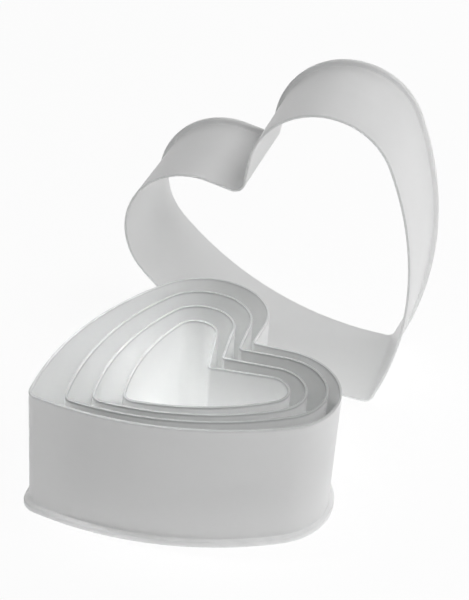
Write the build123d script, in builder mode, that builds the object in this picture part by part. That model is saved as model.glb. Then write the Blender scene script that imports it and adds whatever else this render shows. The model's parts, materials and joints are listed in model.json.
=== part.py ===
from build123d import *
import os
from math import acos, atan, atan2, cos, degrees, hypot, pi, radians, sin, sqrt

# A set of heart-shaped cookie cutters, each one thin moulded wall on a flange that the hand presses.
# Four stand nested, flange down and cutting edge up, and the largest stands on its tip behind them.
# Sizes are millimetres. The origin is the middle of the set's footprint, +Z is up, and the way
# through the standing cutter runs along Y.

# Wall and flange, alike on every cutter
cutter_height = 40.0
wall = 0.85
edge_break = 0.15
flange_width = 2.0
flange_height = 2.0
flange_break = 0.45

# Heart of the outermost nested cutter, measured outside its wall. The shares are of its width.
heart_width = 82.7
length_share = 1.0278
lobe_share = 0.231
side_share = 1.185
notch_share = 0.1693
notch_radius = 3.0
tip_radius = 3.7

# What each size adds to the one below it
width_step = 11.7
length_step = 13.6
lobe_step = 3.81
side_step = 9.0

# Steps of size from the outermost nested cutter. The largest is a little more than one step up.
large_steps = 1.17
nested_steps = [0, -1, -2, -3]

# The nest's place: where the outermost heart's sharp tip would be, and its axis turned from +Y
nest_tip_x = -41.93
nest_tip_y = -62.55
nest_turn = -45.5

# Shift of each nested cutter's tip across and along the outermost heart's axis, and the swing of its
# lobes to the left round that tip
nested_across = [0.0, 5.64, 8.1, 11.0]
nested_along = [0.0, 8.31, 15.41, 22.94]
nested_swing = [0.0, 6.68, 9.2, 14.69]

# The largest cutter's place: where its cutting edge meets the table, and its lean from upright
large_foot_x = 36.17
large_foot_y = 26.55
large_lean = 35.3


def side_centre(lobe_x, lobe_y, lobe, side):
    """Centre of the right side's arc: it runs through the sharp tip and touches the lobe inside."""
    far = hypot(lobe_x, lobe_y)
    turn = acos((far**2 + side**2 - (side - lobe) ** 2) / (2 * far * side))
    heading = atan2(lobe_y, lobe_x) + turn
    return side * cos(heading), side * sin(heading)


def heart_arcs(steps):
    """Centre and radius of the side, lobe, tip and notch arcs of a cutter so many steps larger."""
    lobe = heart_width * lobe_share + steps * lobe_step
    side = heart_width * side_share + steps * side_step
    length = heart_width * length_share + steps * length_step
    lobe_x = (heart_width + steps * width_step) / 2 - lobe
    lobe_y = length - lobe
    side_x, side_y = side_centre(lobe_x, lobe_y, lobe, side)
    tip_y = side_y - sqrt((side - tip_radius) ** 2 - side_x**2)
    notch_y = length - heart_width * notch_share + notch_radius
    return (side_x, side_y, side), (lobe_x, lobe_y, lobe), (0, tip_y, tip_radius), (0, notch_y, notch_radius)


def heart(steps, grow):
    """Heart with its sharp tip at the origin and its notch towards +Y, grown outwards all round."""
    side, lobe, tip, notch = heart_arcs(steps)
    # Directions from the arcs' centres to the points where side meets tip, lobe and flank
    tip_turn = atan2(tip[1] - side[1], -side[0])
    lobe_turn = atan2(lobe[1] - side[1], lobe[0] - side[0])
    flank_turn = pi - atan2(notch[1] - lobe[1], lobe[0])
    flank_turn -= acos((lobe[2] + notch[2]) / hypot(lobe[0], notch[1] - lobe[1]))
    lobe_reach = lobe[2] + grow
    notch_reach = notch[2] - grow
    flank_top = (lobe[0] + lobe_reach * cos(flank_turn), lobe[1] + lobe_reach * sin(flank_turn))
    flank_foot = (-notch_reach * cos(flank_turn), notch[1] - notch_reach * sin(flank_turn))
    with BuildSketch() as face:
        with BuildLine():
            CenterArc(side[:2], side[2] + grow, degrees(tip_turn), degrees(lobe_turn - tip_turn))
            CenterArc(lobe[:2], lobe_reach, degrees(lobe_turn), degrees(flank_turn - lobe_turn))
            Line(flank_top, flank_foot)
            mirror(about=Plane.YZ)
            CenterArc(tip[:2], tip[2] + grow, degrees(pi - tip_turn), degrees(pi + 2 * tip_turn))
            CenterArc(notch[:2], notch_reach, degrees(-flank_turn), degrees(2 * flank_turn - pi))
        make_face()
    return face.sketch


def make_cutter(name, steps, place):
    """One cutter: a thin wall on a flange with broken rims, open right through from foot to edge."""
    up = Axis(place.origin, place.z_dir)
    with BuildPart() as cutter:
        with BuildSketch(place):
            add(heart(steps, flange_width))
        extrude(amount=flange_height)
        rims = cutter.faces().sort_by(up)[0].edges() + cutter.faces().sort_by(up)[-1].edges()
        chamfer(rims, flange_break)
        with BuildSketch(place):
            add(heart(steps, 0))
        extrude(amount=cutter_height)
        with BuildSketch(place):
            add(heart(steps, -wall))
        extrude(amount=cutter_height, mode=Mode.SUBTRACT)
        chamfer(cutter.faces().sort_by(up)[-1].edges(), edge_break)
    cutter.part.label = name
    export_step(cutter.part, "parts/" + name + ".step")


def nest_place(number):
    """Plane under a cutter of the nest, on the table."""
    turn = radians(nest_turn)
    across = nested_across[number]
    along = nested_along[number]
    tip_x = nest_tip_x + across * cos(turn) - along * sin(turn)
    tip_y = nest_tip_y + across * sin(turn) + along * cos(turn)
    heading = turn + nested_swing[number] / (heart_width * length_share)
    return Plane((tip_x, tip_y, 0), x_dir=(cos(heading), sin(heading), 0), z_dir=(0, 0, 1))


def large_place():
    """Plane under the largest cutter's flange, as it stands on the rims of its flange and its edge."""
    edge_level = cutter_height - edge_break
    tilt = atan(flange_width / (edge_level - flange_height + flange_break))
    lean = radians(large_lean)
    edge_way = Vector(0, -cos(tilt), -sin(tilt))
    upright = Vector(0, -sin(tilt), cos(tilt))
    heart_way = upright * cos(lean) + Vector(-1, 0, 0) * sin(lean)
    across_way = heart_way.cross(edge_way)
    # A lean past the end of the tip's arc brings the left side's arc down to the table
    side, lobe, tip, notch = heart_arcs(large_steps)
    lowest = tip
    if lean > atan2(-side[0], side[1] - tip[1]):
        lowest = (-side[0], side[1], side[2])
    foot_across = lowest[0] - lowest[2] * sin(lean)
    foot_along = lowest[1] - lowest[2] * cos(lean)
    foot = Vector(large_foot_x, large_foot_y, 0)
    origin = foot - across_way * foot_across - heart_way * foot_along - edge_way * edge_level
    return Plane(origin, x_dir=across_way, z_dir=edge_way)


os.makedirs("parts", exist_ok=True)

nested_names = [
    "outer_nested_cutter",
    "second_nested_cutter",
    "third_nested_cutter",
    "inner_nested_cutter",
]
for number, name in enumerate(nested_names):
    make_cutter(name, nested_steps[number], nest_place(number))

make_cutter("largest_cutter", large_steps, large_place())
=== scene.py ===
import json
from math import acos, atan, atan2, ceil, cos, hypot, pi, radians, sin, sqrt

import bmesh
import bpy
from bpy.props import FloatProperty, FloatVectorProperty, PointerProperty
from bpy.types import Operator, Panel, PropertyGroup
from mathutils import Matrix, Vector, noise

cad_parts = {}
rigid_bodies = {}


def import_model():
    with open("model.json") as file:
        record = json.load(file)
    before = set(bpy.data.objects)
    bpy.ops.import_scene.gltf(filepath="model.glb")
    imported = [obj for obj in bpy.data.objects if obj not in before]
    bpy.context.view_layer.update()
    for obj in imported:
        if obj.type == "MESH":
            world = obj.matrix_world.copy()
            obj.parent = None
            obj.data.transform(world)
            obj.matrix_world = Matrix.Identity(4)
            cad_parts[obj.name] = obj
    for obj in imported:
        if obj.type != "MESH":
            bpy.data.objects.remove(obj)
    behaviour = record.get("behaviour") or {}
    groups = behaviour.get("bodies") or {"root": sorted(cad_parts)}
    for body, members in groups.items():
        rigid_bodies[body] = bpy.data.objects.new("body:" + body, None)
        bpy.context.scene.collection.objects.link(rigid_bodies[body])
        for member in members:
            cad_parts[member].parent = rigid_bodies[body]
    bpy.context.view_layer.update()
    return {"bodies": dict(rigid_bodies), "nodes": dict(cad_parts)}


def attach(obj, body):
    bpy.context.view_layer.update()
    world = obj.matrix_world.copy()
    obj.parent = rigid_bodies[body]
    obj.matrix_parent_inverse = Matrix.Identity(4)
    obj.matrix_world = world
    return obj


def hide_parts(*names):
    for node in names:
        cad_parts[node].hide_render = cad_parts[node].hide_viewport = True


bl_info = {
    "name": "Heart Cookie Cutters",
    "version": (1, 0, 0),
    "blender": (4, 5, 0),
    "location": "View3D > Sidebar > Cutters",
    "description": "Builds a nest of heart cookie cutters, the largest cutter behind it, and their studio",
    "category": "Add Mesh",
}

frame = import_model()

MM = 0.001
GOES_RIGHT = Vector((1, 0, 0))

# Nested cutters from the outside in: node, body, then in millimetres the shift of the tip across and
# along the outermost heart's axis and the swing of the lobes round that tip, and how much painted shade
# darkens the cutting edge, heavier on the three inner cutters, whose rims the lamp into the nest lights
NEST = (
    ("outer_nested_cutter", "nest_base", 0.0, 0.0, 0.0, 0.6),
    ("second_nested_cutter", "second_cutter", 5.91, 8.4, 6.68, 0.95),
    ("third_nested_cutter", "third_cutter", 8.61, 15.28, 9.3, 0.95),
    ("inner_nested_cutter", "inner_cutter", 11.82, 23.11, 14.91, 0.95),
)
# Painted shade on the largest cutter's cutting edge, and the share of each cutter's edge shade painted on
# its flange's rims
LARGE_EDGE_PAINTED_SHADE = 0.15
FLANGE_PAINTED_SHADE = 0.15

# Heights on the plain wall at which its section has points, in millimetres
WALL_LEVELS = (3.2, 6, 10, 14, 18, 22, 26, 30, 33.5, 36.2)

# Spacing of the points on the heart's arcs
FINE, MEDIUM, COARSE = 0.3 * MM, 0.8 * MM, 1.6 * MM
FLANK_CUTS = 6

# The waver of the wall: how quickly it changes, per metre, and the share of a half wave up to the edge
BOW_TURNS = 38
BOW_RISE = 0.8

# Edges of the mesh that turn by more than this are shaded sharp, and points nearer than this are one
SHARP_TURN = radians(40)
SAME_POINT = 0.002 * MM

# Share of plain white in the table where it is seen directly, and the rest is lit and shaded
SHOWN_WHITE = 0.9

# Lamps: name, degrees left of +X, degrees above the table, distance in metres, size in metres, watts
LAMPS = (
    ("Front right", 315, 42, 1.0, 0.6, 1.28),
    ("High right", 8, 60, 1.0, 0.4, 2.45),
    ("Low right", 0, 12, 1.0, 0.5, 0.9),
    ("Left", 180, 42, 1.0, 0.6, 0.1),
    ("Low back", 90, 12, 1.0, 0.5, 1.0),
)
LAMP_AIM = (0.0, 0.0, 0.04)
NEST_AIM = (-0.018, -0.028, 0.03)
WHITE = (1.0, 1.0, 1.0, 1.0)


class CutterSizes(PropertyGroup):
    """Sizes that all the cutters share, and what each size adds"""

    height: FloatProperty(
        name="Height", description="From the table to the cutting edge of a nested cutter",
        default=40.0 * MM, subtype="DISTANCE", unit="LENGTH",
    )
    wall: FloatProperty(
        name="Wall", description="Thickness of the wall",
        default=0.85 * MM, subtype="DISTANCE", unit="LENGTH", precision=5,
    )
    flange_width: FloatProperty(
        name="Flange width", description="How far the flange stands out from the wall",
        default=2.0 * MM, subtype="DISTANCE", unit="LENGTH", precision=5,
    )
    flange_height: FloatProperty(
        name="Flange height", description="Thickness of the flange",
        default=2.0 * MM, subtype="DISTANCE", unit="LENGTH", precision=5,
    )
    flange_round: FloatProperty(
        name="Flange rounding", description="Radius of the flange's rims",
        default=0.5 * MM, subtype="DISTANCE", unit="LENGTH", precision=5,
    )
    root_round: FloatProperty(
        name="Root rounding", description="Radius of the hollow where the wall meets the flange",
        default=0.3 * MM, subtype="DISTANCE", unit="LENGTH", precision=5,
    )
    edge_round: FloatProperty(
        name="Edge rounding", description="Radius that takes the sharpness off the cutting edge",
        default=0.15 * MM, subtype="DISTANCE", unit="LENGTH", precision=5,
    )
    land: FloatProperty(
        name="Land", description="Height of the thinned band under the cutting edge",
        default=2.2 * MM, subtype="DISTANCE", unit="LENGTH", precision=5,
    )
    land_step: FloatProperty(
        name="Land step", description="How much the band under the cutting edge is thinned",
        default=0.05 * MM, subtype="DISTANCE", unit="LENGTH", precision=5,
    )
    draft: FloatProperty(
        name="Draft", description="How much the wall thickens outwards from its edge down to the flange",
        default=0.4 * MM, subtype="DISTANCE", unit="LENGTH", precision=5,
    )
    bow: FloatProperty(
        name="Bow", description="How far the thin wall strays from true half way up",
        default=0.09 * MM, subtype="DISTANCE", unit="LENGTH", precision=5,
    )
    heart_width: FloatProperty(
        name="Heart width", description="Outermost nested cutter across its lobes, at the edge",
        default=82.7 * MM, subtype="DISTANCE", unit="LENGTH",
    )
    length_share: FloatProperty(
        name="Length share", description="Length from the sharp tip to the lobes, as a share of the width",
        default=1.0278, min=0.5, max=2.0, subtype="FACTOR",
    )
    lobe_share: FloatProperty(
        name="Lobe share", description="Radius of the lobes, as a share of the width",
        default=0.239, min=0.1, max=0.25, subtype="FACTOR",
    )
    side_share: FloatProperty(
        name="Side share", description="Radius of the long sides, as a share of the width",
        default=1.185, min=0.6, max=3.0, subtype="FACTOR",
    )
    notch_share: FloatProperty(
        name="Notch share", description="Depth of the notch, as a share of the width",
        default=0.1655, min=0.05, max=0.3, subtype="FACTOR",
    )
    notch_round: FloatProperty(
        name="Notch rounding", description="Radius at the bottom of a nested cutter's notch",
        default=0.5 * MM, subtype="DISTANCE", unit="LENGTH",
    )
    large_notch: FloatProperty(
        name="Largest notch", description="Depth of the largest cutter's notch",
        default=14.0 * MM, subtype="DISTANCE", unit="LENGTH",
    )
    large_notch_round: FloatProperty(
        name="Largest notch rounding", description="Radius at the bottom of the largest cutter's notch",
        default=3.0 * MM, subtype="DISTANCE", unit="LENGTH",
    )
    large_lobe: FloatProperty(
        name="Largest lobes", description="Radius of the largest cutter's lobes",
        default=23.56 * MM, subtype="DISTANCE", unit="LENGTH",
    )
    tip_round: FloatProperty(
        name="Tip rounding", description="Radius at the heart's tip",
        default=3.7 * MM, subtype="DISTANCE", unit="LENGTH",
    )
    width_step: FloatProperty(
        name="Width step", description="Width that each size adds",
        default=11.7 * MM, subtype="DISTANCE", unit="LENGTH",
    )
    length_step: FloatProperty(
        name="Length step", description="Length that each size adds",
        default=13.6 * MM, subtype="DISTANCE", unit="LENGTH",
    )
    lobe_step: FloatProperty(
        name="Lobe step", description="Lobe radius that each nested size adds",
        default=4.39 * MM, subtype="DISTANCE", unit="LENGTH",
    )
    side_step: FloatProperty(
        name="Side step", description="Side radius that each size adds",
        default=9.0 * MM, subtype="DISTANCE", unit="LENGTH",
    )


class CutterPlaces(PropertyGroup):
    """Where the nest and the largest cutter stand"""

    nest_tip: FloatVectorProperty(
        name="Nest tip", description="Where the outermost nested heart's sharp tip would be",
        size=2, default=(-41.89 * MM, -62.49 * MM), subtype="XYZ", unit="LENGTH",
    )
    nest_turn: FloatProperty(
        name="Nest turn", description="Turn of the outermost nested heart's axis from +Y",
        default=radians(-45.5), subtype="ANGLE", unit="ROTATION",
    )
    large_steps: FloatProperty(
        name="Largest size", description="Steps of size from the outermost nested cutter to the largest",
        default=1.17, min=0.0, max=3.0,
    )
    large_foot: FloatVectorProperty(
        name="Largest foot", description="Where the largest cutter's cutting edge meets the table",
        size=2, default=(36.17 * MM, 26.55 * MM), subtype="XYZ", unit="LENGTH",
    )
    large_lean: FloatProperty(
        name="Largest lean", description="Lean of the largest cutter's axis from upright",
        default=radians(35.3), subtype="ANGLE", unit="ROTATION",
    )


class CutterPlastic(PropertyGroup):
    """The white moulded plastic"""

    colour: FloatVectorProperty(
        name="Plastic", description="Colour of the plastic",
        size=3, default=(0.98, 0.985, 0.982), min=0.0, max=1.0, subtype="COLOR",
    )
    # Grey for the painted shade on the rims, also the dark tone of the flow marks
    flow_and_painted_shade: FloatVectorProperty(
        name="Dense plastic", description="Colour where the plastic is thick or worn at a rim",
        size=3, default=(0.62, 0.63, 0.63), min=0.0, max=1.0, subtype="COLOR",
    )
    roughness: FloatProperty(
        name="Roughness", description="Roughness of the satin surface", default=0.3, min=0.0, max=1.0,
    )
    glow: FloatProperty(
        name="Glow depth", description="How far light spreads inside the plastic",
        default=1.5 * MM, subtype="DISTANCE", unit="LENGTH", precision=5,
    )


class CutterStudio(PropertyGroup):
    """Camera, lamps and floor"""

    camera_place: FloatVectorProperty(
        name="Camera", description="Where the camera stands",
        size=3, default=(81.25 * MM, -309.7 * MM, 240.38 * MM), subtype="XYZ", unit="LENGTH",
    )
    camera_turn: FloatVectorProperty(
        name="Camera turn", description="Azimuth, elevation and roll of the camera's view",
        size=3, default=(radians(15.06), radians(31.36), radians(4.67)), subtype="EULER", unit="ROTATION",
    )
    lens: FloatProperty(
        name="Lens", description="Focal length on a 36 mm frame", default=73.59, min=10.0, max=300.0,
    )
    ambient: FloatProperty(
        name="Ambient", description="Strength of the even light from all round", default=0.1,
        min=0.0, max=2.0,
    )
    table_glow: FloatProperty(
        name="Table glow", description="Light that the white table gives off from below", default=0.32,
        min=0.0, max=2.0,
    )
    lit_place: FloatVectorProperty(
        name="Lit patch", description="Middle of the patch of table that is lit more strongly from below",
        size=2, default=(-16.0 * MM, -34.0 * MM), subtype="XYZ", unit="LENGTH",
    )
    lit_reach: FloatProperty(
        name="Lit reach", description="Radius of the patch that is lit more strongly",
        default=30.0 * MM, subtype="DISTANCE", unit="LENGTH",
    )
    lit_glow: FloatProperty(
        name="Lit glow", description="Light that the patch gives off", default=0.35, min=0.0, max=20.0,
    )
    floor_colour: FloatVectorProperty(
        name="Floor", description="Colour of the floor",
        size=3, default=(0.9, 0.9, 0.9), min=0.0, max=1.0, subtype="COLOR",
    )


def side_centre(lobe_x, lobe_y, lobe, side):
    """Centre of the right side's arc, which runs through the sharp tip and touches the lobe inside."""
    far = hypot(lobe_x, lobe_y)
    turn = acos((far**2 + side**2 - (side - lobe) ** 2) / (2 * far * side))
    heading = atan2(lobe_y, lobe_x) + turn
    return side * cos(heading), side * sin(heading)


def heart_arcs(sizes, steps):
    """Centre and radius of the side, lobe, tip and notch arcs of a cutter so many steps larger."""
    lobe = sizes.heart_width * sizes.lobe_share + steps * sizes.lobe_step
    notch, notch_round = sizes.heart_width * sizes.notch_share, sizes.notch_round
    if steps > 0:
        lobe, notch, notch_round = sizes.large_lobe, sizes.large_notch, sizes.large_notch_round
    side = sizes.heart_width * sizes.side_share + steps * sizes.side_step
    length = sizes.heart_width * sizes.length_share + steps * sizes.length_step
    lobe_x = (sizes.heart_width + steps * sizes.width_step) / 2 - lobe
    lobe_y = length - lobe
    side_x, side_y = side_centre(lobe_x, lobe_y, lobe, side)
    tip_y = side_y - sqrt((side - sizes.tip_round) ** 2 - side_x**2)
    return (
        (side_x, side_y, side),
        (lobe_x, lobe_y, lobe),
        (0.0, tip_y, sizes.tip_round),
        (0.0, length - notch + notch_round, notch_round),
    )


def arc_points(arc, grow, start, end, spacing):
    """Points along an arc grown outwards, as many at any growth, each with the way that it grows."""
    count = max(3, ceil(abs(end - start) * arc[2] / spacing))
    for number in range(count + 1):
        angle = start + (end - start) * number / count
        way = Vector((cos(angle), sin(angle)))
        yield Vector(arc[:2]) + way * (arc[2] + grow), way


def notch_points(notch, grow, flank_turn, meeting):
    """Points round the notch's arc, or where its flanks meet once the growth has closed the arc."""
    for point, way in arc_points(notch, -grow, flank_turn - pi, -pi / 2, FINE):
        yield (point if grow < notch[2] else meeting.copy()), -way


def heart_path(sizes, steps, grow):
    """Points round the heart, grown so far, with their outward ways, from the tip anticlockwise."""
    side, lobe, tip, notch = heart_arcs(sizes, steps)
    tip_turn = atan2(tip[1] - side[1], -side[0])
    lobe_turn = atan2(lobe[1] - side[1], lobe[0] - side[0])
    flank_turn = pi - atan2(notch[1] - lobe[1], lobe[0])
    flank_turn -= acos((lobe[2] + notch[2]) / hypot(lobe[0], notch[1] - lobe[1]))
    across = cos(flank_turn) * lobe[0] + sin(flank_turn) * lobe[1] + lobe[2] + grow
    meeting = Vector((0.0, across / sin(flank_turn)))
    runs = [
        list(arc_points(tip, grow, -pi / 2, tip_turn, FINE)),
        list(arc_points(side, grow, tip_turn, lobe_turn, COARSE)),
        list(arc_points(lobe, grow, lobe_turn, flank_turn, MEDIUM)),
        list(notch_points(notch, grow, flank_turn, meeting)),
    ]
    start, way = runs[2][-1]
    end = runs[3][0][0]
    runs.insert(3, [(start.lerp(end, cut / FLANK_CUTS), way) for cut in range(FLANK_CUTS + 1)])
    half = [runs[0][0]]
    for run in runs:
        half += run[1:]
    return half + [(Vector((-point.x, point.y)), Vector((-way.x, way.y))) for point, way in half[-2:0:-1]]


def corner(grow, level, radius, start, end, cuts=4):
    """Points of a rounded corner in the wall's section, as (growth, level)."""
    for number in range(cuts + 1):
        angle = radians(start + (end - start) * number / cuts)
        yield grow + radius * cos(angle), level + radius * sin(angle)


def wall_section(sizes):
    """The wall's section as (growth, level), from the inner foot round the flange, up and back down."""
    out, inside, top = sizes.flange_width, -sizes.wall, sizes.height
    rim, root, edge = sizes.flange_round, sizes.root_round, sizes.edge_round
    section = list(corner(inside + edge, edge, edge, 180, 270, 3))
    section += [(0.3 * MM, 0.0)]
    section += corner(out - rim, rim, rim, 270, 360)
    section += corner(out - rim, sizes.flange_height - rim, rim, 0, 90)
    section += corner(sizes.draft + root, sizes.flange_height + root, root, 270, 180)
    levels = [level * MM for level in WALL_LEVELS]
    land = top - sizes.land
    section += [(sizes.draft * (land - level) / land, level) for level in levels]
    section += [(0.0, land)]
    section += [(-sizes.land_step, land + 0.15 * MM), (-sizes.land_step, top - 0.9 * MM)]
    section += corner(-sizes.land_step - edge, top - edge, edge, 0, 90)
    section += corner(inside + edge, top - edge, edge, 90, 180)
    section += [(inside, level) for level in [top - 0.9 * MM, land] + levels[::-1]]
    section += [(inside, 1.2 * MM)]
    return section


def wall_bow(sizes, seed, point, level):
    """How far the thin wall strays at a point: nothing at the foot, most a little over half way up."""
    free = sin(pi * BOW_RISE * min(1.0, max(0.0, level / sizes.height)))
    wander = noise.noise(Vector((point.x * BOW_TURNS, point.y * BOW_TURNS, seed)))
    return 2 * sizes.bow * free * wander


def sweep_cutter(sizes, steps, place, name, seed):
    """One cutter's mesh: the section swept round the heart, with a map of the way round and the level."""
    section = wall_section(sizes)
    path = heart_path(sizes, steps, 0.0)
    lines = [heart_path(sizes, steps, grow) for grow, level in section]
    mesh = bpy.data.meshes.new(name)
    build = bmesh.new()
    # The rim layer holds each point's share of painted shade
    rims = build.verts.layers.float.new("rim")
    chart = build.loops.layers.uv.new("Wall")
    rings = []
    for turn in range(len(path)):
        ring = []
        for line, (grow, level) in zip(lines, section):
            point, way = line[turn]
            spot = point + way * wall_bow(sizes, seed, path[turn][0], level)
            vert = build.verts.new(place @ Vector((spot.x, spot.y, level)))
            vert[rims] = rim_painted_shade(sizes, grow, level)
            ring.append(vert)
        rings.append(ring)
    rounds = [0.0]
    for number in range(1, len(path) + 1):
        rounds.append(rounds[-1] + (path[number % len(path)][0] - path[number - 1][0]).length)
    runs = [0.0]
    for number in range(1, len(section) + 1):
        here, before = section[number % len(section)], section[number - 1]
        runs.append(runs[-1] + hypot(here[0] - before[0], here[1] - before[1]))
    for turn, ring in enumerate(rings):
        ahead = rings[(turn + 1) % len(rings)]
        for number, vert in enumerate(ring):
            beside = (number + 1) % len(ring)
            face = build.faces.new((vert, ahead[number], ahead[beside], ring[beside]))
            face.smooth = True
            spots = ((turn, number), (turn + 1, number), (turn + 1, number + 1), (turn, number + 1))
            for loop, spot in zip(face.loops, spots):
                loop[chart].uv = (rounds[spot[0]] * 10, runs[spot[1]] * 10)
    bmesh.ops.remove_doubles(build, verts=build.verts, dist=SAME_POINT)
    bmesh.ops.recalc_face_normals(build, faces=build.faces)
    for edge in build.edges:
        edge.smooth = edge.calc_face_angle(0.0) < SHARP_TURN
    build.to_mesh(mesh)
    build.free()
    cutter = bpy.data.objects.new(name, mesh)
    bpy.context.scene.collection.objects.link(cutter)
    smooth = cutter.modifiers.new("Even shading", "WEIGHTED_NORMAL")
    smooth.weight = 60
    smooth.keep_sharp = True
    return cutter


def rim_painted_shade(sizes, grow, level):
    """Share of painted shade on the plastic: 1 on the cutting edge, a little on the flange's rims, 0
    elsewhere.
    """
    if level > sizes.height - 0.5 * MM:
        return 1.0
    if grow > 0.8 * sizes.flange_width:
        return FLANGE_PAINTED_SHADE
    return 0.0


def nest_place(places, across, along, turn):
    """Matrix that takes a heart's own frame to its place in the nest."""
    start = places.nest_turn
    tip_x = places.nest_tip[0] + across * cos(start) - along * sin(start)
    tip_y = places.nest_tip[1] + across * sin(start) + along * cos(start)
    return Matrix.Translation((tip_x, tip_y, 0)) @ Matrix.Rotation(start + turn, 4, "Z")


def large_place(sizes, places):
    """Matrix for the largest cutter, as it stands on the rims of its flange and its edge."""
    edge_level = sizes.height - sizes.edge_round
    run = edge_level - sizes.flange_height + sizes.flange_round
    tilt = atan(sizes.flange_width / run)
    lean = places.large_lean
    edge_way = Vector((0, -cos(tilt), -sin(tilt)))
    upright = Vector((0, -sin(tilt), cos(tilt)))
    heart_way = upright * cos(lean) - GOES_RIGHT * sin(lean)
    across_way = heart_way.cross(edge_way)
    side, lobe, tip, notch = heart_arcs(sizes, places.large_steps)
    lowest = tip
    if lean > atan2(-side[0], side[1] - tip[1]):
        lowest = (-side[0], side[1], side[2])
    foot_across = lowest[0] - lowest[2] * sin(lean)
    foot_along = lowest[1] - lowest[2] * cos(lean)
    foot = Vector((places.large_foot[0], places.large_foot[1], 0))
    origin = foot - across_way * foot_across - heart_way * foot_along - edge_way * edge_level
    turned = Matrix((across_way, heart_way, edge_way)).transposed().to_4x4()
    return Matrix.Translation(origin) @ turned


class Nodes:
    """The emptied node tree of a material or world, with a short way to add a node and wire it."""

    def __init__(self, owner):
        owner.use_nodes = True
        self.tree = owner.node_tree
        self.tree.nodes.clear()

    def add(self, kind, inputs=None, **settings):
        """A node of that kind, with its settings, and values or wires for its named inputs."""
        node = self.tree.nodes.new(kind)
        for key, value in settings.items():
            setattr(node, key, value)
        for key, value in (inputs or {}).items():
            if isinstance(value, bpy.types.NodeSocket):
                self.tree.links.new(value, node.inputs[key])
            else:
                node.inputs[key].default_value = value
        return node


def mixed_colour(mix):
    """The colour output of a mix node that also has outputs of other types."""
    return next(output for output in mix.outputs if output.type == "RGBA")


def plastic_material(plastic, name, seed, edge_painted_shade):
    """Satin white plastic: flow marks, mould grain, broad duller bands up the wall, and painted shade that
    darkens the rims and thins their glow.
    """
    material = bpy.data.materials.new(name)
    add = Nodes(material).add
    spot = add("ShaderNodeTexCoord").outputs["Object"]
    around = add("ShaderNodeUVMap", uv_map="Wall").outputs["UV"]
    rim = add("ShaderNodeAttribute", attribute_name="rim").outputs["Fac"]
    moved = add("ShaderNodeMapping", {"Vector": spot, "Location": (seed, seed * 0.7, 0.0)})
    place = moved.outputs["Vector"]
    flow = add("ShaderNodeTexNoise", {"Vector": place, "Scale": 55.0, "Detail": 4.0, "Roughness": 0.55})
    grain = add("ShaderNodeTexNoise", {"Vector": place, "Scale": 1400.0, "Detail": 3.0, "Roughness": 0.6})
    bands = add("ShaderNodeMapping", {"Vector": around, "Scale": (9.0, 1.0, 1.0)}).outputs["Vector"]
    shine = add("ShaderNodeTexNoise", {"Vector": bands, "Scale": 1.5, "Detail": 1.0, "Roughness": 0.4})
    flow_shade = add(
        "ShaderNodeMapRange",
        {"Value": flow.outputs["Fac"], "From Min": 0.3, "From Max": 0.7, "To Min": 0.0, "To Max": 0.09},
    )
    # Painted shade darkens the rims by the rim attribute, and flow marks add random dark tone; where this
    # is strong, less light spreads inside the plastic
    flow_and_painted_shade = add(
        "ShaderNodeMath", {0: rim, 1: edge_painted_shade, 2: flow_shade.outputs["Result"]},
        operation="MULTIPLY_ADD", use_clamp=True,
    )
    clear = add("ShaderNodeMath", {0: 1.0, 1: flow_and_painted_shade.outputs[0]}, operation="SUBTRACT", use_clamp=True)
    colour = add(
        "ShaderNodeMix",
        {"Factor": flow_and_painted_shade.outputs[0], "A": (*plastic.colour, 1.0), "B": (*plastic.flow_and_painted_shade, 1.0)},
        data_type="RGBA",
    )
    rough = add(
        "ShaderNodeMapRange",
        {
            "Value": shine.outputs["Fac"], "From Min": 0.0, "From Max": 1.0,
            "To Min": plastic.roughness, "To Max": plastic.roughness + 0.1,
        },
    )
    broad = add("ShaderNodeBump", {"Height": flow.outputs["Fac"], "Strength": 0.25, "Distance": 0.25 * MM})
    fine = add(
        "ShaderNodeBump",
        {
            "Height": grain.outputs["Fac"], "Strength": 0.3, "Distance": 0.02 * MM,
            "Normal": broad.outputs["Normal"],
        },
    )
    shader = add(
        "ShaderNodeBsdfPrincipled",
        {
            "Base Color": mixed_colour(colour),
            "Roughness": rough.outputs["Result"],
            "Normal": fine.outputs["Normal"],
            "IOR": 1.46,
            "Subsurface Weight": clear.outputs[0],
            "Subsurface Radius": (1.0, 1.0, 1.0),
            "Subsurface Scale": plastic.glow,
        },
    )
    add("ShaderNodeOutputMaterial", {"Surface": shader.outputs["BSDF"]})
    return material


def place_cutter(sizes, steps, place, node, body, material, seed):
    """Builds a cutter in place of its solid, on the body that carries it."""
    if node not in frame["nodes"] or body not in frame["bodies"]:
        raise RuntimeError("no solid or body for " + node)
    cutter = sweep_cutter(sizes, steps, place, node.replace("cutter", "heart"), seed)
    cutter.data.materials.append(material)
    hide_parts(node)
    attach(cutter, body)
    return cutter


class CUTTERS_OT_nest(Operator):
    """Build the four nested cutters"""

    bl_idname = "cutters.nest"
    bl_label = "Nested cutters"

    def execute(self, context):
        scene = context.scene
        length = scene.cutter_sizes.heart_width * scene.cutter_sizes.length_share
        for number, (node, body, across, along, swing, edge_painted_shade) in enumerate(NEST):
            place = nest_place(scene.cutter_places, across * MM, along * MM, swing * MM / length)
            seed = 0.31 * (number + 1)
            material = plastic_material(scene.cutter_plastic, "White plastic of " + node, seed, edge_painted_shade)
            place_cutter(scene.cutter_sizes, -number, place, node, body, material, 1.7 * number)
        return {"FINISHED"}


class CUTTERS_OT_largest(Operator):
    """Build the largest cutter, standing on its tip"""

    bl_idname = "cutters.largest"
    bl_label = "Largest cutter"

    def execute(self, context):
        scene = context.scene
        sizes, places = scene.cutter_sizes, scene.cutter_places
        name = "White plastic of largest_cutter"
        material = plastic_material(scene.cutter_plastic, name, 2.3, LARGE_EDGE_PAINTED_SHADE)
        place = large_place(sizes, places)
        place_cutter(sizes, places.large_steps, place, "largest_cutter", "standing_cutter", material, 9.4)
        return {"FINISHED"}


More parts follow.
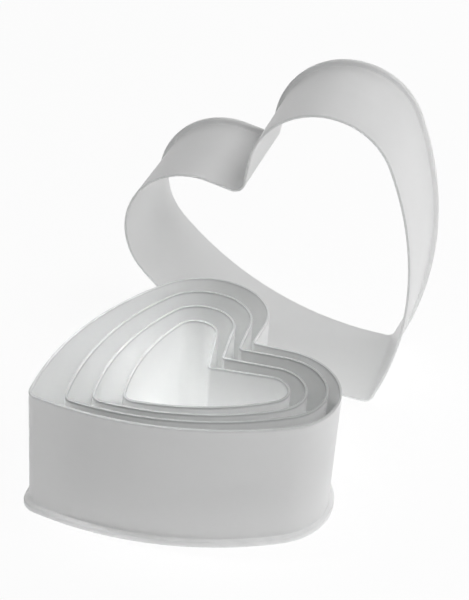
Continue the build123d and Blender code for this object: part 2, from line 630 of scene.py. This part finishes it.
def add_camera(studio):
    """The photograph's camera: place, view and lens."""
    azimuth, elevation, roll = studio.camera_turn
    ahead = Vector((-sin(azimuth) * cos(elevation), cos(azimuth) * cos(elevation), -sin(elevation)))
    right = Vector((cos(azimuth), sin(azimuth), 0))
    up = right.cross(ahead)
    picture_right = right * cos(roll) + up * sin(roll)
    picture_up = up * cos(roll) - right * sin(roll)
    camera = bpy.data.objects.new("Camera", bpy.data.cameras.new("Camera"))
    camera.data.lens = studio.lens
    camera.data.clip_start = 0.01
    camera.data.clip_end = 20.0
    camera.matrix_world = (
        Matrix.Translation(studio.camera_place)
        @ Matrix((picture_right, picture_up, -ahead)).transposed().to_4x4()
    )
    bpy.context.scene.collection.objects.link(camera)
    bpy.context.scene.camera = camera


def add_lamp(name, azimuth, elevation, distance, size, power, aim=LAMP_AIM, spread=180.0):
    """A soft square lamp, at so many degrees left of +X and above the table as seen from where it aims."""
    lamp = bpy.data.lights.new(name, "AREA")
    lamp.shape = "SQUARE"
    lamp.size = size
    lamp.spread = radians(spread)
    lamp.energy = power
    stand = bpy.data.objects.new(name, lamp)
    turn, rise = radians(azimuth), radians(elevation)
    way = Vector((cos(turn) * cos(rise), sin(turn) * cos(rise), sin(rise)))
    stand.location = Vector(aim) + way * distance
    stand.rotation_euler = (-way).to_track_quat("-Z", "Y").to_euler()
    bpy.context.scene.collection.objects.link(stand)


def seen_directly(nodes):
    """1 for rays that show the backdrop: from the camera, off gloss and through what is clear."""
    path = nodes.add("ShaderNodeLightPath").outputs
    shown = path["Is Camera Ray"]
    for kind in ("Is Glossy Ray", "Is Transmission Ray"):
        shown = nodes.add("ShaderNodeMath", {0: shown, 1: path[kind]}, operation="MAXIMUM").outputs[0]
    return shown


def add_floor(studio):
    """A white sweep: flat under the cutters and rising far behind them."""
    material = bpy.data.materials.new("White floor")
    nodes = Nodes(material)
    add = nodes.add
    spot = add("ShaderNodeTexCoord").outputs["Object"]
    mottle = add("ShaderNodeTexNoise", {"Vector": spot, "Scale": 30.0, "Detail": 3.0})
    tone = add(
        "ShaderNodeMapRange", {"Value": mottle.outputs["Fac"], "To Min": 0.98, "To Max": 1.0},
    )
    paint = add(
        "ShaderNodeMix",
        {"Factor": tone.outputs["Result"], "A": (0.0, 0.0, 0.0, 1.0), "B": (*studio.floor_colour, 1.0)},
        data_type="RGBA",
    )
    paint_lit = add("ShaderNodeBsdfDiffuse", {"Color": mixed_colour(paint)})
    away = add("ShaderNodeVectorMath", {0: spot, 1: (*studio.lit_place, 0.0)}, operation="DISTANCE")
    lit_patch = add(
        "ShaderNodeMapRange",
        {
            "Value": away.outputs["Value"], "From Min": 0.5 * studio.lit_reach,
            "From Max": studio.lit_reach, "To Min": studio.lit_glow, "To Max": studio.table_glow,
        },
        interpolation_type="SMOOTHSTEP",
    )
    glow = add("ShaderNodeEmission", {"Color": WHITE, "Strength": lit_patch.outputs["Result"]})
    lit = add("ShaderNodeAddShader", {0: paint_lit.outputs[0], 1: glow.outputs[0]})
    bright = add("ShaderNodeEmission", {"Color": WHITE, "Strength": 1.0})
    share = add("ShaderNodeMath", {0: seen_directly(nodes), 1: SHOWN_WHITE}, operation="MULTIPLY")
    mixed = add("ShaderNodeMixShader", {0: share.outputs[0], 1: lit.outputs[0], 2: bright.outputs[0]})
    add("ShaderNodeOutputMaterial", {"Surface": mixed.outputs[0]})
    build = bmesh.new()
    profile = [(-1.5, 0.0), (1.2, 0.0)]
    profile += [(1.2 + 0.6 * sin(radians(a)), 0.6 - 0.6 * cos(radians(a))) for a in range(10, 91, 10)]
    profile += [(1.8, 2.2)]
    rows = [[build.verts.new((x, y, z)) for x in (-2.0, 2.0)] for y, z in profile]
    for near, far in zip(rows, rows[1:]):
        build.faces.new((near[0], near[1], far[1], far[0])).smooth = True
    mesh = bpy.data.meshes.new("Floor")
    build.to_mesh(mesh)
    build.free()
    mesh.materials.append(material)
    floor = bpy.data.objects.new("Floor", mesh)
    bpy.context.scene.collection.objects.link(floor)


def light_world(studio):
    """Even ambient light, white where it is seen directly."""
    world = bpy.data.worlds.new("Studio")
    bpy.context.scene.world = world
    nodes = Nodes(world)
    add = nodes.add
    even = add("ShaderNodeBackground", {"Color": WHITE, "Strength": studio.ambient})
    seen = add("ShaderNodeBackground", {"Color": WHITE, "Strength": 1.0})
    mixed = add("ShaderNodeMixShader", {0: seen_directly(nodes), 1: even.outputs[0], 2: seen.outputs[0]})
    add("ShaderNodeOutputWorld", {"Surface": mixed.outputs[0]})


class CUTTERS_OT_studio(Operator):
    """Set up the camera, the soft lamps, the white floor and the world"""

    bl_idname = "cutters.studio"
    bl_label = "Studio"

    def execute(self, context):
        studio = context.scene.cutter_studio
        add_camera(studio)
        add_floor(studio)
        light_world(studio)
        for lamp in LAMPS:
            add_lamp(*lamp)
        add_lamp("Into the nest", 180, 70, 0.5, 0.05, 0.0105, aim=NEST_AIM, spread=9.0)
        context.scene.cycles.diffuse_bounces = 24
        context.scene.view_settings.view_transform = "Standard"
        return {"FINISHED"}


class CUTTERS_PT_panel(Panel):
    """Lists the cutters, their sizes and the studio"""

    bl_label = "Heart Cookie Cutters"
    bl_idname = "CUTTERS_PT_panel"
    bl_space_type = "VIEW_3D"
    bl_region_type = "UI"
    bl_category = "Cutters"

    def draw(self, context):
        scene = context.scene
        for operator in (CUTTERS_OT_nest, CUTTERS_OT_largest, CUTTERS_OT_studio):
            self.layout.operator(operator.bl_idname)
        groups = (scene.cutter_sizes, scene.cutter_places, scene.cutter_plastic, scene.cutter_studio)
        for group in groups:
            box = self.layout.box()
            for key in group.bl_rna.properties.keys():
                if key not in {"rna_type", "name"}:
                    box.prop(group, key)


CLASSES = (
    CutterSizes,
    CutterPlaces,
    CutterPlastic,
    CutterStudio,
    CUTTERS_OT_nest,
    CUTTERS_OT_largest,
    CUTTERS_OT_studio,
    CUTTERS_PT_panel,
)


def register():
    for cls in CLASSES:
        bpy.utils.register_class(cls)
    bpy.types.Scene.cutter_sizes = PointerProperty(type=CutterSizes)
    bpy.types.Scene.cutter_places = PointerProperty(type=CutterPlaces)
    bpy.types.Scene.cutter_plastic = PointerProperty(type=CutterPlastic)
    bpy.types.Scene.cutter_studio = PointerProperty(type=CutterStudio)


def unregister():
    del bpy.types.Scene.cutter_studio
    del bpy.types.Scene.cutter_plastic
    del bpy.types.Scene.cutter_places
    del bpy.types.Scene.cutter_sizes
    for cls in reversed(CLASSES):
        bpy.utils.unregister_class(cls)


def main():
    """Registers the add-on and builds everything."""
    register()
    bpy.ops.cutters.nest()
    bpy.ops.cutters.largest()
    bpy.ops.cutters.studio()


if __name__ == "__main__":
    main()
